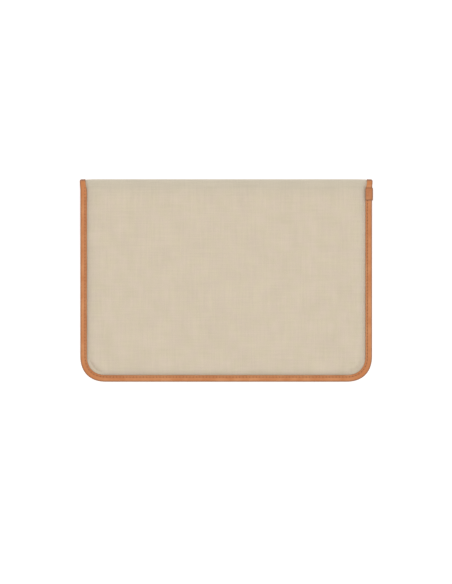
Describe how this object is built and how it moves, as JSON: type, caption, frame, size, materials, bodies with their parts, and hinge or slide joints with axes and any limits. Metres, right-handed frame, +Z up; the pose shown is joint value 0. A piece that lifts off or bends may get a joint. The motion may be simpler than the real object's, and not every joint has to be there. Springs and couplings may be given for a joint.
{
  "type": "laptop sleeve",
  "caption": "Padded canvas laptop sleeve with leather-bound edges, a lined pocket and a fold-over flap held by hidden magnets.",
  "frame": {"origin": "on the table, under the middle of the closed sleeve", "axes": "+X across the sleeve, +Y from the bottom seam to the fold, +Z up out of the back panel, with the flap underneath"},
  "size_m": [0.3488, 0.24, 0.0275],
  "materials": {
    "canvas": "plain weave cotton canvas, undyed",
    "lining": "smooth cotton lining",
    "foam": "soft closed-cell padding, hidden inside",
    "leather": "tan leather, matt, fine grain",
    "thread": "tan sewing thread",
    "magnet": "plated magnet, hidden inside"
  },
  "bodies": {
    "pocket": {"back_canvas": "canvas", "back_foam": "foam", "back_lining": "lining", "front_canvas": "canvas", "front_foam": "foam", "front_lining": "lining", "body_binding": "leather", "body_needle_thread": "thread", "body_bobbin_thread": "thread", "binding_lap": "leather", "mouth_binding": "leather", "mouth_needle_thread": "thread", "mouth_bobbin_thread": "thread", "pocket_magnet_left": "magnet", "pocket_magnet_right": "magnet"},
    "fold_strip_1": {"fold_canvas_1": "canvas", "fold_lining_1": "lining", "fold_binding_left_1": "leather", "fold_binding_right_1": "leather"},
    "fold_strip_2": {"fold_canvas_2": "canvas", "fold_lining_2": "lining", "fold_binding_left_2": "leather", "fold_binding_right_2": "leather"},
    "fold_strip_3": {"fold_canvas_3": "canvas", "fold_lining_3": "lining", "fold_binding_left_3": "leather", "fold_binding_right_3": "leather"},
    "flap": {"flap_canvas": "canvas", "flap_foam": "foam", "flap_lining": "lining", "flap_binding": "leather", "flap_needle_thread": "thread", "flap_bobbin_thread": "thread", "flap_magnet_left": "magnet", "flap_magnet_right": "magnet"}
  },
  "joints": [
    {"name": "fold_1", "type": "hinge", "parent": "pocket", "child": "fold_strip_1", "pos_m": [0, 0.11322, 0.02768], "axis": [1, 0, 0], "range_deg": [0, 45]},
    {"name": "fold_2", "type": "hinge", "parent": "fold_strip_1", "child": "fold_strip_2", "pos_m": [0, 0.11945, 0.02084], "axis": [1, 0, 0], "range_deg": [0, 45]},
    {"name": "fold_3", "type": "hinge", "parent": "fold_strip_2", "child": "fold_strip_3", "pos_m": [0, 0.11945, 0.00666], "axis": [1, 0, 0], "range_deg": [0, 45]},
    {"name": "fold_4", "type": "hinge", "parent": "fold_strip_3", "child": "flap", "pos_m": [0, 0.11322, -0.00017], "axis": [1, 0, 0], "range_deg": [0, 45]}
  ]
}
